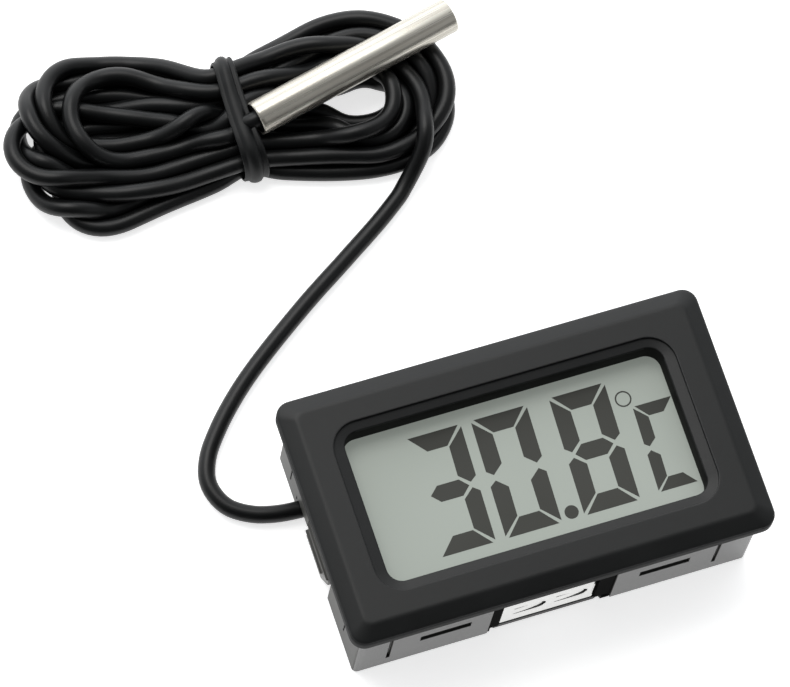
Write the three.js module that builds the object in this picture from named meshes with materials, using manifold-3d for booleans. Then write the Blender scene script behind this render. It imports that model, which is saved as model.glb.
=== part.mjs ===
// Battery-powered panel thermometer with a liquid-crystal display and a corded steel probe.
// Millimetres. The case lies on its back: +Z is the way the display faces, +X is the long side
// of the case and +Y points to the top of the figures. Z = 0 is the back of the case.

import * as THREE from "three";
import { mergeVertices } from "three/addons/utils/BufferGeometryUtils.js";
import Module from "manifold-3d";

const wasm = await Module();
wasm.setup();

// ---------------------------------------------------------------- driving dimensions

const CASE = {
  bezelLength: 48.5,
  bezelWidth: 28.6,
  height: 15.2,
  flangeUnderside: 12.8,
  bodyLength: 45.8,
  bodyWidth: 26.2,
  wall: 1.3,
  bezelCorner: 1.7,
  bodyCorner: 0.6,
};

const INNER_X = CASE.bodyLength / 2 - CASE.wall;
const INNER_Y = CASE.bodyWidth / 2 - CASE.wall;
const CEILING = 12.1;

const WINDOW = { length: 36.6, width: 17.5, corner: 1.7 };
const RECESS = { length: 39.2, width: 19.7, corner: 3.1, depth: 0.25 };

const LATCH = { centres: [-12.7, 12.6], length: 5.8, low: 5.1, high: 6.5 };
const BATTERY_MOUTH = { left: -7.45, right: 6.9, top: 10, corner: 0.5 };
const SIDE_MOUTH = { low: -4.15, clipHigh: 3.55, cordHigh: 7.25, top: 12.1 };
const GROOVE = { wide: 0.4, deep: 0.3, xs: [-19.3, 18.5], low: 2.2 };
const SLIT = { wide: 0.35, ys: [-9, 9.4], low: 2.5 };

const COVER = { thickness: 1.2, gap: 0.15 };
const CELL = { radius: 5.8, height: 5.4, x: -0.7, y: 5.95, z: 1.35 };
const BAY = { left: -6.9, right: 5.5, wall: 0.7, top: 7.2 };

const DOOR = { x: -0.7, outer: 11.7, inner: 12.6, thickness: 1.0, front: -12.75, back: 11.2 };
const STRIP = { wide: 7, z: 0.8, dimple: 0.4 };

const BOARD = { length: 40.4, width: 22.4, low: 8.2, high: 9.2 };
const GLASS = { length: 40.4, width: 22.6, rearWidth: 18.4, thick: 1.1, film: 0.2 };

const CLIP = { low: -3.6, high: 3.25, bottom: 0.3, top: 11.75, thick: 1.1, face: 22.95 };

const CORD = { diameter: 1.95, y: 6.1, z: 1.0 };
const HANK = { low: 0.8, high: 3.3 };
const TIE = { x: -16.45, wide: 2.6, thick: 0.5, low: 43.9, high: 58.4, top: 7.2 };
const PROBE = { diameter: 4, length: 25.5, wall: 0.25, mouth: [-14.06, 49.68, 5.6], turn: 0.23 };

// ---------------------------------------------------------------- materials

const FINISH = {
  blackPlastic: [0x2a2b2b, 0.5, 0],
  greyPlastic: [0x3b3a37, 0.55, 0],
  nickel: [0xd9d8d2, 0.25, 1],
  steel: [0xd6d3cc, 0.15, 1],
  cellSeal: [0x3a3a3c, 0.5, 0],
  board: [0x1f5a38, 0.45, 0],
  potting: [0x141416, 0.35, 0],
  chipBody: [0x1b1b1d, 0.5, 0],
  chipCeramic: [0xa88a5e, 0.5, 0],
  glass: [0xa9b3a8, 0.1, 0],
  film: [0xa3ada4, 0.4, 0],
  reflector: [0xb9bdb4, 0.4, 0.3],
  elastomer: [0x5a5c60, 0.8, 0],
  cordRubber: [0x202122, 0.55, 0],
  leadRed: [0xa02018, 0.5, 0],
  leadBlack: [0x161616, 0.5, 0],
  glue: [0xd8d2bd, 0.4, 0],
  epoxy: [0x191a1b, 0.4, 0],
};

function material(name) {
  const [color, roughness, metalness] = FINISH[name];
  return new THREE.MeshStandardMaterial({ color, roughness, metalness });
}

// ---------------------------------------------------------------- shape helpers

function block(x0, x1, y0, y1, z0, z1) {
  const geometry = new THREE.BoxGeometry(x1 - x0, y1 - y0, z1 - z0);
  return geometry.translate((x0 + x1) / 2, (y0 + y1) / 2, (z0 + z1) / 2);
}

function roundedRectangle(length, width, radius, x = 0, y = 0) {
  const right = length / 2;
  const top = width / 2;
  const shape = new THREE.Shape();
  shape.moveTo(x + right, y - top + radius);
  shape.absarc(x + right - radius, y + top - radius, radius, 0, Math.PI / 2, false);
  shape.absarc(x - right + radius, y + top - radius, radius, Math.PI / 2, Math.PI, false);
  shape.absarc(x - right + radius, y - top + radius, radius, Math.PI, Math.PI * 1.5, false);
  shape.absarc(x + right - radius, y - top + radius, radius, Math.PI * 1.5, Math.PI * 2, false);
  return shape;
}

// Raises a flat outline from one height to another.
function slab(shape, low, high, curveSegments = 5) {
  const geometry = new THREE.ExtrudeGeometry(shape, {
    depth: high - low,
    bevelEnabled: false,
    curveSegments,
  });
  return geometry.translate(0, 0, low);
}

// Stands an outline drawn in (y, z) up along X.
function slabAlongX(outline, x0, x1) {
  const geometry = slab(outline, 0, x1 - x0);
  geometry.applyMatrix4(new THREE.Matrix4().set(0, 0, 1, x0, 1, 0, 0, 0, 0, 1, 0, 0, 0, 0, 0, 1));
  return geometry;
}

// Stands an outline drawn in (x, z) up along Y.
function slabAlongY(outline, y0, y1) {
  const geometry = slab(outline, 0, y1 - y0);
  geometry.applyMatrix4(new THREE.Matrix4().set(1, 0, 0, 0, 0, 0, -1, y1, 0, 1, 0, 0, 0, 0, 0, 1));
  return geometry;
}

function polygon(points) {
  return new THREE.Shape(points.map(([a, b]) => new THREE.Vector2(a, b)));
}

// A round solid or shell turned about Z from (radius, height) pairs.
function turned(points, segments = 28) {
  const profile = points.map(([radius, height]) => new THREE.Vector2(radius, height));
  return new THREE.LatheGeometry(profile, segments);
}

function turnedUpright(points, segments) {
  return turned(points, segments).rotateX(Math.PI / 2);
}

// A round cord or wire swept along a smooth route.
function tube(points, diameter, sides = 8, steps = 16) {
  const route = new THREE.CatmullRomCurve3(points.map((p) => new THREE.Vector3(...p)), false, "centripetal");
  const section = new THREE.Shape();
  section.absarc(0, 0, diameter / 2, 0, Math.PI * 2, false);
  const roundSection = new THREE.Shape(section.getPoints(sides / 4).slice(0, -1));
  return new THREE.ExtrudeGeometry(roundSection, { steps, extrudePath: route, bevelEnabled: false });
}

// ---------------------------------------------------------------- joining and cutting

function toManifold(geometry) {
  const bare = geometry.clone();
  bare.deleteAttribute("normal");
  bare.deleteAttribute("uv");
  const merged = mergeVertices(bare, 1e-4);
  return new wasm.Manifold(new wasm.Mesh({
    numProp: 3,
    vertProperties: new Float32Array(merged.attributes.position.array),
    triVerts: new Uint32Array(merged.index.array),
  }));
}

function fromManifold(solid) {
  const mesh = solid.getMesh();
  const geometry = new THREE.BufferGeometry();
  geometry.setAttribute("position", new THREE.BufferAttribute(mesh.vertProperties, 3));
  geometry.setIndex(new THREE.BufferAttribute(mesh.triVerts, 1));
  return geometry;
}

function joined(...geometries) {
  return fromManifold(geometries.map(toManifold).reduce((whole, piece) => whole.add(piece)));
}

function cutFrom(geometry, ...cutters) {
  const rest = cutters.map(toManifold).reduce((whole, cutter) => whole.subtract(cutter), toManifold(geometry));
  return fromManifold(rest);
}

// ---------------------------------------------------------------- case

// The bezel rises in rings: a square edge, a soft shallow slope and a flat face.
function bezelPlate() {
  const rings = [
    [CASE.flangeUnderside, 0],
    [14.3, 0],
    [14.48, 0.12],
    [15.1, 1.62],
    [CASE.height, 1.95],
  ];
  const layers = rings.slice(1).map(([high, inset], index) => {
    const [low, lowInset] = rings[index];
    return ringLayer(low, lowInset, high, inset);
  });
  return joined(...layers);
}

function ringLayer(low, lowInset, high, highInset) {
  const outline = (inset) => roundedRectangle(
    CASE.bezelLength - 2 * inset,
    CASE.bezelWidth - 2 * inset,
    CASE.bezelCorner - inset * 0.6,
  ).getPoints(5).slice(0, -1);
  const lower = outline(lowInset);
  const upper = outline(highInset);
  const vertices = [];
  const faces = [];
  lower.forEach((p) => vertices.push(p.x, p.y, low));
  upper.forEach((p) => vertices.push(p.x, p.y, high));
  const count = lower.length;
  for (let i = 0; i < count; i += 1) {
    const next = (i + 1) % count;
    faces.push(i, next, count + next, i, count + next, count + i);
  }
  for (let i = 1; i < count - 1; i += 1) {
    faces.push(0, i + 1, i, count, count + i, count + i + 1);
  }
  const geometry = new THREE.BufferGeometry();
  geometry.setAttribute("position", new THREE.Float32BufferAttribute(vertices, 3));
  geometry.setIndex(faces);
  return geometry;
}

// The opening in the long wall through which the batteries and their contact plate go in.
function batteryMouth() {
  const { left, right, top, corner } = BATTERY_MOUTH;
  const outline = polygon([
    [left + corner, -1],
    [right - corner, -1],
    [right - corner, 0],
    [right, corner],
    [right, top],
    [left, top],
    [left, corner],
    [left + corner, 0],
  ]);
  return slabAlongY(outline, -CASE.bodyWidth / 2 - 1, -INNER_Y + 1);
}

function latchWindows() {
  return LATCH.centres.map((x) => block(
    x - LATCH.length / 2,
    x + LATCH.length / 2,
    -CASE.bodyWidth,
    CASE.bodyWidth,
    LATCH.low,
    LATCH.high,
  ));
}

function sideMouths() {
  const { low, clipHigh, cordHigh, top } = SIDE_MOUTH;
  const outer = CASE.bodyLength / 2 + 1;
  return [
    block(INNER_X - 1, outer, -clipHigh, -low, -1, top),
    block(-outer, 1 - INNER_X, low, clipHigh, -1, top),
    block(-outer, 1 - INNER_X, clipHigh - 1, cordHigh, -1, 2.6),
  ];
}

// Shallow upright grooves in the long walls and through slits in the short ones.
function wallGrooves() {
  const outerY = CASE.bodyWidth / 2;
  const outerX = CASE.bodyLength / 2;
  const grooves = GROOVE.xs.flatMap((x) => [-1, 1].map((side) => {
    const near = side * (outerY - GROOVE.deep);
    const far = side * (outerY + 1);
    return block(x, x + GROOVE.wide, Math.min(near, far), Math.max(near, far), GROOVE.low, CASE.flangeUnderside);
  }));
  const slits = SLIT.ys.flatMap((y) => [-1, 1].map((side) => {
    const near = side * (outerX - CASE.wall / 2);
    const far = side * (outerX + 1);
    return block(Math.min(near, far), Math.max(near, far), y, y + SLIT.wide, SLIT.low, CASE.flangeUnderside);
  }));
  return [...grooves, ...slits];
}

function caseShell() {
  const walls = slab(roundedRectangle(CASE.bodyLength, CASE.bodyWidth, CASE.bodyCorner), 0, CEILING + 1.5);
  const inside = slab(roundedRectangle(2 * INNER_X, 2 * INNER_Y, 0.5), -1, CEILING);
  const opening = slab(roundedRectangle(WINDOW.length, WINDOW.width, WINDOW.corner), 5, CASE.height + 1);
  const recess = slab(
    roundedRectangle(RECESS.length, RECESS.width, RECESS.corner),
    CASE.height - RECESS.depth,
    CASE.height + 1,
  );
  return cutFrom(
    joined(bezelPlate(), walls),
    inside,
    opening,
    recess,
    batteryMouth(),
    ...latchWindows(),
    ...sideMouths(),
    ...wallGrooves(),
  );
}

// A hook on the rear cover that springs into one of the latch windows.
function coverHook(x, side) {
  const inner = INNER_Y - COVER.gap;
  const outline = polygon([
    [inner - 1, 1],
    [inner, 1],
    [inner, LATCH.low + 0.15],
    [inner + 0.75, LATCH.low + 0.15],
    [inner + 0.2, LATCH.high - 0.2],
    [inner - 1, LATCH.high + 0.3],
  ].map(([y, z]) => [side * y, z]));
  return slabAlongX(outline, x - 2.3, x + 2.3);
}

// The door's bevelled sides run in this slot.
function doorSlot() {
  const half = DOOR.outer / 2 + COVER.gap;
  const wide = DOOR.inner / 2 + COVER.gap + 0.1;
  const outline = polygon([
    [DOOR.x - half, -0.5],
    [DOOR.x + half, -0.5],
    [DOOR.x + half, 0],
    [DOOR.x + wide, 1.02],
    [DOOR.x + wide, 1.3],
    [DOOR.x - wide, 1.3],
    [DOOR.x - wide, 1.02],
    [DOOR.x - half, 0],
  ]);
  return slabAlongY(outline, -CASE.bodyWidth, DOOR.back + COVER.gap);
}

function rearCover() {
  const halfX = INNER_X - COVER.gap;
  const halfY = INNER_Y - COVER.gap;
  const plate = slab(roundedRectangle(2 * halfX, 2 * halfY, 0.4), 0, COVER.thickness);
  const bayWalls = [
    block(BAY.left - BAY.wall, BAY.left, -halfY, halfY, 1, BAY.top),
    block(BAY.right, BAY.right + BAY.wall, -halfY, halfY, 1, BAY.top),
  ];
  const posts = [-17.5, 17.5].flatMap((x) => [-9.2, 9.2].map((y) => block(x - 0.9, x + 0.9, y - 0.9, y + 0.9, 1, BOARD.low)));
  const hooks = LATCH.centres.flatMap((x) => [-1, 1].map((side) => coverHook(x, side)));
  const notches = [
    block(-INNER_X - 1, -16.6, 4.3, 7.9, -1, 3),
    block(-INNER_X - 1, -19.9, SIDE_MOUTH.low, 5, -1, 3),
    block(19.9, INNER_X + 1, -SIDE_MOUTH.clipHigh, -SIDE_MOUTH.low, -1, 3),
  ];
  const lip = block(DOOR.x + 6, BATTERY_MOUTH.right - 0.2, -12.95, 0.5 - halfY, 0.55, COVER.thickness);
  return cutFrom(joined(plate, lip, ...bayWalls, ...posts, ...hooks), doorSlot(), ...notches);
}

// A sprung finger in the left wall. Its three ridges grip the edge of the panel.
function snapClipLeft() {
  const { low, high, bottom, top, face, thick } = CLIP;
  const outline = polygon([
    [-1.9, bottom],
    [high, bottom],
    [high, top],
    [low, top],
    [low, 2.9],
  ]);
  const finger = slabAlongX(outline, -face, thick - face);
  const ridges = [1.6, 4, 6.4].map((z) => slabAlongY(
    polygon([[0.2 - face, z], [-face, z], [-face - 0.3, z + 0.9], [0.2 - face, z + 1.1]]),
    z < 2.9 ? low + 1.6 : low,
    high,
  ));
  return joined(finger, ...ridges);
}

// The right finger is the same piece turned half round.
function snapClipRight() {
  return snapClipLeft().rotateZ(Math.PI);
}

// ---------------------------------------------------------------- battery compartment

function batteryDoor() {
  const half = DOOR.outer / 2;
  const wide = DOOR.inner / 2;
  const section = polygon([
    [DOOR.x - half, 0],
    [DOOR.x + half, 0],
    [DOOR.x + wide, DOOR.thickness],
    [DOOR.x - wide, DOOR.thickness],
  ]);
  const door = slabAlongY(section, DOOR.front, DOOR.back);
  const corners = [-1, 1].map((side) => slab(polygon([
    [DOOR.x + side * (half - 0.3), DOOR.front - 0.5],
    [DOOR.x + side * (wide + 1), DOOR.front - 0.5],
    [DOOR.x + side * (wide + 1), DOOR.front + 0.9],
  ]), -0.5, 1.5));
  const stripSeat = block(
    DOOR.x - STRIP.wide / 2 - 0.15,
    DOOR.x + STRIP.wide / 2 + 0.15,
    -9.65,
    9.65,
    STRIP.z,
    DOOR.thickness + 1,
  );
  const grips = [0, 1, 2].map((i) => block(DOOR.x - 3, DOOR.x + 3, -10.4 + i, -9.9 + i, -1, 0.25));
  return cutFrom(door, ...corners, stripSeat, ...grips);
}

// Joins the two cells in series. It is bonded to the inside of the door.
function cellLinkStrip() {
  const strip = block(DOOR.x - STRIP.wide / 2, DOOR.x + STRIP.wide / 2, -9.5, 9.5, STRIP.z, STRIP.z + 0.18);
  const dimples = [-CELL.y, CELL.y].map((y) => turnedUpright([
    [0, 0],
    [1.6, 0],
    [0.8, STRIP.dimple],
    [0, STRIP.dimple],
  ], 16).translate(DOOR.x, y, STRIP.z + 0.02));
  return joined(strip, ...dimples);
}

// One button cell with its cap at the top. The front cell is turned over.
function placeCell(geometry, isFront) {
  if (isFront) {
    geometry.rotateX(Math.PI).translate(0, 0, CELL.height);
  }
  return geometry.translate(CELL.x, isFront ? -CELL.y : CELL.y, CELL.z);
}

function cellCan(isFront) {
  const can = turnedUpright([
    [0, 0],
    [5.5, 0],
    [CELL.radius, 0.3],
    [CELL.radius, 4.8],
    [5.45, 5.15],
    [4.95, 5.15],
    [4.95, 4.2],
    [0, 4.2],
  ], 36);
  return placeCell(can, isFront);
}

function cellSeal(isFront) {
  const ring = turnedUpright([[4.62, 4.2], [4.95, 4.2], [4.95, 5.15], [4.62, 5.15], [4.62, 4.2]], 36);
  return placeCell(ring, isFront);
}

function cellCap(isFront) {
  const cap = turnedUpright([[0, 4.2], [4.62, 4.2], [4.62, 5.2], [4.35, CELL.height], [0, CELL.height]], 36);
  return placeCell(cap, isFront);
}

// Plated spring plate at the mouth of the battery bay, with two tongues bent in towards the front cell.
function contactPlate() {
  const outer = -12.75;
  const inner = outer + 0.3;
  const plate = block(-6.15, 4.35, outer, inner, 1.4, 7.9);
  const rim = block(4.3, 4.9, outer, inner + 0.5, 1.4, 6);
  const shelf = block(-3.4, 1.6, outer, -9.6, 7.7, 7.95);
  const lead = block(-1.6, -0.2, -10.8, -9.6, 7.7, BOARD.low);
  const slots = [-4.6, 0.2].map((x) => block(x - 0.3, x + 3.4, outer - 1, inner + 0.2, 3.3, 5.4));
  const tongues = [-4.6, 0.2].map((x) => slab(polygon([
    [x - 0.5, outer],
    [x, outer],
    [x + 3.1, inner + 0.05],
    [x + 3.1, inner + 0.35],
    [x - 0.5, inner],
  ]), 3.6, 5.1));
  return joined(cutFrom(joined(plate, rim, shelf, lead), ...slots), ...tongues);
}

// Leaf spring under the board that presses on the cap of the rear cell.
function cellSpring() {
  const low = CELL.z + CELL.height;
  const outline = polygon([
    [2.6, BOARD.low],
    [2.6, BOARD.low - 0.2],
    [8.4, low + 0.02],
    [9.2, low + 0.35],
    [9.05, low + 0.5],
    [8.35, low + 0.24],
    [3.6, BOARD.low],
  ]);
  return slabAlongX(outline, CELL.x - 1.6, CELL.x + 1.6);
}

// ---------------------------------------------------------------- board and display

function circuitBoard() {
  const board = slab(roundedRectangle(BOARD.length, BOARD.width, 0.8), BOARD.low, BOARD.high);
  const wireHoles = [4.6, 7.4].map((y) => block(-18.85, -18.15, y - 0.35, y + 0.35, BOARD.low - 1, BOARD.high + 1));
  return cutFrom(board, ...wireHoles);
}

function chipBlob() {
  const dome = turnedUpright([[0, 0], [4, 0], [3.6, -0.5], [2.4, -1], [0, -1.25]].reverse(), 24);
  return dome.translate(12.4, 0.4, BOARD.low);
}

function boardChip(x, y, length) {
  return block(x - length / 2, x + length / 2, y - 0.62, y + 0.62, BOARD.low - 0.55, BOARD.low);
}

function displayLayer(width, low, high) {
  return slab(roundedRectangle(GLASS.length, width, 0.4), low, high);
}

const FRONT_GLASS_TOP = CEILING - GLASS.film;
const FRONT_GLASS_LOW = FRONT_GLASS_TOP - GLASS.thick;
const REAR_GLASS_LOW = FRONT_GLASS_LOW - GLASS.thick;

function frontFilm() {
  return displayLayer(GLASS.rearWidth + 0.6, FRONT_GLASS_TOP, CEILING);
}

function frontGlass() {
  return displayLayer(GLASS.width, FRONT_GLASS_LOW, FRONT_GLASS_TOP);
}

function rearGlass() {
  return displayLayer(GLASS.rearWidth, REAR_GLASS_LOW, FRONT_GLASS_LOW);
}

function reflectorFilm() {
  return displayLayer(GLASS.rearWidth, REAR_GLASS_LOW - 0.25, REAR_GLASS_LOW);
}

// Striped rubber strip that carries the signals from the board to the glass.
function contactRubber(side) {
  const middle = side * (GLASS.width / 2 - 0.95);
  return block(-17.5, 17.5, middle - 0.75, middle + 0.75, BOARD.high, FRONT_GLASS_LOW);
}

// ---------------------------------------------------------------- cord, tie and probe

function cordAnchor() {
  return cutFrom(
    block(-20.4, -17, 4.5, 7.7, 0.15, 2.4),
    block(-22, -19.4, CORD.y - 1.05, CORD.y + 1.05, -1, 2),
  );
}

function leadWire(y) {
  const start = CORD.y + (y > CORD.y ? 0.45 : -0.45);
  return tube([[-18.5, start, 2.42], [-18.5, start, 3.4], [-18.5, y, 5.6], [-18.5, y, 8.9]], 0.5, 8, 8);
}

// From inside the notch in the short wall, round a tight bend and away to the hank.
const CORD_ROUTE = [
  [-19.7, CORD.y, CORD.z],
  [-22.6, CORD.y, CORD.z],
  [-25.6, 6.4, CORD.z],
  [-28.2, 7.2, CORD.z],
  [-30.5, 8.9, CORD.z],
  [-31.5, 11.8, CORD.z],
  [-30.7, 14.6, CORD.z],
  [-28.6, 17.5, CORD.z],
  [-25.7, 20.5, CORD.z],
  [-22.4, 23.3, CORD.z],
  [-14.8, 28.7, CORD.z],
  [-8.8, 32.5, CORD.z],
  [-2.8, 36.4, CORD.z],
  [0.9, 39.3, CORD.z],
];

function cordRun() {
  return tube(CORD_ROUTE, CORD.diameter, 8, 32);
}

// The tied hank of cord as one plain outline: two round lobes and a narrow waist.
function cordHank() {
  const shape = new THREE.Shape();
  shape.absarc(-32, 53, 10, Math.PI * 0.42, Math.PI * 1.55, false);
  shape.quadraticCurveTo(-16, 49.5, -3.1, 41.06);
  shape.absarc(-0.2, 50, 9.4, Math.PI * 1.4, Math.PI * 2.54, false);
  shape.quadraticCurveTo(-16, 53, -29.5, 62.69);
  return slab(shape, HANK.low, HANK.high, 14);
}

// A flat band round the waist of the hank.
function twistTie() {
  const { low, high, top, thick } = TIE;
  const outer = roundedRectangle(high - low, top, 1.6, (high + low) / 2, top / 2);
  outer.holes.push(roundedRectangle(high - low - 2 * thick, top - 2 * thick, 1.2, (high + low) / 2, top / 2));
  return slabAlongX(outer, TIE.x - TIE.wide / 2, TIE.x + TIE.wide / 2);
}

// The last of the cord, from the top of the hank under the tie to the mouth of the probe.
function cordTail() {
  const [x, y, z] = PROBE.mouth;
  return tube([[-25.5, 50.4, 4.6], [-21.5, 49.6, 4.6], [-17.5, 49.2, 5], [x - 0.35, y - 0.08, z]], CORD.diameter, 8, 6);
}

// Turns a shape built along +Z so that it points along the probe, its mouth end at the cord.
function alongProbe(geometry) {
  return geometry.rotateY(Math.PI / 2).rotateZ(PROBE.turn).translate(...PROBE.mouth);
}

function probeTube() {
  const outer = PROBE.diameter / 2;
  const bore = outer - PROBE.wall;
  const end = PROBE.length;
  const profile = [
    [bore, 0],
    [outer - 0.1, 0],
    [outer, 0.1],
    [outer, end - 0.5],
    [outer - 0.15, end - 0.15],
    [outer - 0.5, end],
    [0, end],
    [0, end - 0.4],
    [bore, end - 0.4],
    [bore, 0],
  ];
  return alongProbe(turnedUpright(profile, 28));
}

// Resin that closes the mouth of the probe.
function probeSeal() {
  const bore = PROBE.diameter / 2 - PROBE.wall - 0.02;
  return alongProbe(turnedUpright([[0, 0.1], [bore, 0.1], [bore, 4], [0, 4]], 28));
}

function thermistorBead() {
  return alongProbe(turnedUpright([[0, 21.4], [0.8, 21.9], [1.1, 22.9], [0.8, 23.9], [0, 24.4]], 16));
}

function thermistorLead(side) {
  const lead = turnedUpright([[0, 4.1], [0.16, 4.1], [0.16, 21.5], [0, 21.5]], 8);
  return alongProbe(lead.translate(0, side * 0.9, 0));
}

// ---------------------------------------------------------------- assembly

const PIECES = {
  case_shell: ["blackPlastic", () => caseShell()],
  rear_cover: ["blackPlastic", () => rearCover()],
  snap_clip_left: ["greyPlastic", () => snapClipLeft()],
  snap_clip_right: ["greyPlastic", () => snapClipRight()],
  battery_door: ["blackPlastic", () => batteryDoor()],
  cell_link_strip: ["nickel", () => cellLinkStrip()],
  contact_plate: ["nickel", () => contactPlate()],
  cell_spring: ["nickel", () => cellSpring()],
  front_cell_can: ["steel", () => cellCan(true)],
  front_cell_seal: ["cellSeal", () => cellSeal(true)],
  front_cell_cap: ["steel", () => cellCap(true)],
  rear_cell_can: ["steel", () => cellCan(false)],
  rear_cell_seal: ["cellSeal", () => cellSeal(false)],
  rear_cell_cap: ["steel", () => cellCap(false)],
  circuit_board: ["board", () => circuitBoard()],
  chip_blob: ["potting", () => chipBlob()],
  chip_resistor_1: ["chipBody", () => boardChip(-11.5, -3.4, 2)],
  chip_resistor_2: ["chipBody", () => boardChip(-11.5, -1.2, 2)],
  chip_capacitor_1: ["chipCeramic", () => boardChip(-11.5, 1.4, 2)],
  chip_capacitor_2: ["chipCeramic", () => boardChip(12.4, -8, 3.2)],
  contact_rubber_top: ["elastomer", () => contactRubber(1)],
  contact_rubber_bottom: ["elastomer", () => contactRubber(-1)],
  lcd_reflector: ["reflector", () => reflectorFilm()],
  lcd_rear_glass: ["glass", () => rearGlass()],
  lcd_front_glass: ["glass", () => frontGlass()],
  lcd_front_film: ["film", () => frontFilm()],
  cord_anchor: ["glue", () => cordAnchor()],
  lead_wire_red: ["leadRed", () => leadWire(7.4)],
  lead_wire_black: ["leadBlack", () => leadWire(4.6)],
  cord_run: ["cordRubber", () => cordRun()],
  cord_hank: ["cordRubber", () => cordHank()],
  cord_tail: ["cordRubber", () => cordTail()],
  twist_tie: ["cordRubber", () => twistTie()],
  probe_tube: ["steel", () => probeTube()],
  probe_seal: ["epoxy", () => probeSeal()],
  thermistor_bead: ["epoxy", () => thermistorBead()],
  thermistor_lead_1: ["nickel", () => thermistorLead(1)],
  thermistor_lead_2: ["nickel", () => thermistorLead(-1)],
};

const thermometer = new THREE.Group();
thermometer.name = "panel_thermometer";

for (const [name, [finish, build]] of Object.entries(PIECES)) {
  const mesh = new THREE.Mesh(build(), material(finish));
  mesh.name = name;
  thermometer.add(mesh);
}

export default thermometer;
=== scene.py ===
import math

import bmesh
import bpy
import numpy as np
from mathutils import Matrix, Vector


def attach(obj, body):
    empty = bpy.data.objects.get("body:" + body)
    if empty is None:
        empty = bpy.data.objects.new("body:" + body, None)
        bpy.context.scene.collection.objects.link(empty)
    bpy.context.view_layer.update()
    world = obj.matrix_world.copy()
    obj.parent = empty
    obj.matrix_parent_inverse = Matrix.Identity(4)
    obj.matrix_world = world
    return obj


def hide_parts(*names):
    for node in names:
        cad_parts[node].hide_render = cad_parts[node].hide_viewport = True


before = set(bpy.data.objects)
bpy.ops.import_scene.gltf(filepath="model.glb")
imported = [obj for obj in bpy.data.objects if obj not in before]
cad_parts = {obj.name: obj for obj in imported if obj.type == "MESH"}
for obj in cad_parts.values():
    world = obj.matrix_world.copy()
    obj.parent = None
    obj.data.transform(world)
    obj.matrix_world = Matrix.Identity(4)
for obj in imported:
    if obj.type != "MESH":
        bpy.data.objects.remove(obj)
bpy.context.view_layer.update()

MM = 0.001

# ------------------------------------------------------------------ dimensions, in millimetres

# Halves are half the length and half the width of a rectangle centred on the frame's axis.
BEZEL_HALF = (24.25, 14.3)
BEZEL_CORNER = 1.7
FACE_HEIGHT = 15.2
FLANGE_UNDERSIDE = 12.8
FLANGE_SIDE_TOP = 14.28
RECESS_HALF = (19.6, 9.85)
RECESS_DEPTH = 0.34
WINDOW_HALF = (18.3, 8.75)
WINDOW_CORNER = 1.7
DISPLAY_HEIGHT = 12.1

BODY_HALF = (22.9, 13.1)
BODY_CORNER = 0.6
BODY_TOP = 12.95
WALL = 1.3
# How far a cutting shape reaches past the surface that it cuts.
CLEAR = 1

FRONT_MOUTH = {"left": -7.4, "right": 6.9, "top": 10}
LATCH_WINDOW = {"xs": (-12.7, 12.6), "half": 2.9, "low": 5.1, "high": 6.5}
GROOVE = {"xs": (-19.3, 18.5), "wide": 0.4, "deep": 0.35, "low": 2.2, "high": 13.5}
CLIP_MOUTH = {"near": -4.15, "far": 3.55, "top": 12.1}
SLIT = {"deep": 0.6, "foot_wide": 0.22, "wide": 0.38, "taper": 0.08, "high": 13.5}
# Where the two slits of each end wall are, and how low they reach.
SLIT_PLACES = [(-9.2, 3.0), (9.2, 2.2)]
CORD_MOUTH = {"low": 3.0, "high": 7.25, "top": 2.6}

CORD_DIAMETER = 1.95
CORD_RADIUS = CORD_DIAMETER / 2
CORD_AXIS_HEIGHT = 1.0
TIE_X = -16.3
PROBE_MOUTH = np.array([-14.06, 49.68, 5.6])
PROBE_TURN = 0.23
PROBE_DIRECTION = np.array([math.cos(PROBE_TURN), math.sin(PROBE_TURN), 0.0])
PROBE_LENGTH = 25.5
PROBE_RADIUS = 2.0

PLATE = {"left": -6.0, "right": 4.5, "low": 1.4, "high": 7.9}
PLATE_FRONT = -12.75
PLATE_BACK = -12.45
TONGUE_ROOTS = (-4.6, 0.2)
TONGUE_LOW, TONGUE_HIGH = 3.6, 5.1
TONGUE_REACH = 3.35
TONGUE_SLOT = 0.2
TONGUE_BOW = 0.16


# ------------------------------------------------------------------ material helpers

# Depths of surface relief, in metres.
GRAIN_DEPTH = 0.00004
SCRATCH_DEPTH = 0.00002


def new_material(name):
    material = bpy.data.materials.new(name)
    material.use_nodes = True
    shader = material.node_tree.nodes["Principled BSDF"]
    return material, material.node_tree, shader


def add_node(tree, kind, **values):
    node = tree.nodes.new(kind)
    for key, value in values.items():
        if key in node.inputs:
            node.inputs[key].default_value = value
        else:
            setattr(node, key, value)
    return node


def noise(tree, scale, detail=4.0, roughness=0.55, stretch=(1, 1, 1)):
    """Cloudy values from 0 to 1, fixed to the piece."""
    place = add_node(tree, "ShaderNodeTexCoord")
    mapping = add_node(tree, "ShaderNodeMapping")
    mapping.inputs["Scale"].default_value = stretch
    texture = add_node(tree, "ShaderNodeTexNoise", Scale=scale, Detail=detail, Roughness=roughness)
    tree.links.new(place.outputs["Object"], mapping.inputs["Vector"])
    tree.links.new(mapping.outputs["Vector"], texture.inputs["Vector"])
    return texture.outputs["Fac"]


def ramp(tree, source, stops):
    """Turns a value into a colour between the (position, colour) stops."""
    node = add_node(tree, "ShaderNodeValToRGB")
    elements = node.color_ramp.elements
    while len(elements) < len(stops):
        elements.new(0.5)
    for element, (position, colour) in zip(elements, stops):
        element.position = position
        element.color = (*colour, 1.0)
    tree.links.new(source, node.inputs["Fac"])
    return node.outputs["Color"]


def remap(tree, source, low, high):
    node = add_node(tree, "ShaderNodeMapRange")
    node.inputs["To Min"].default_value = low
    node.inputs["To Max"].default_value = high
    tree.links.new(source, node.inputs["Value"])
    return node.outputs["Result"]


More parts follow.
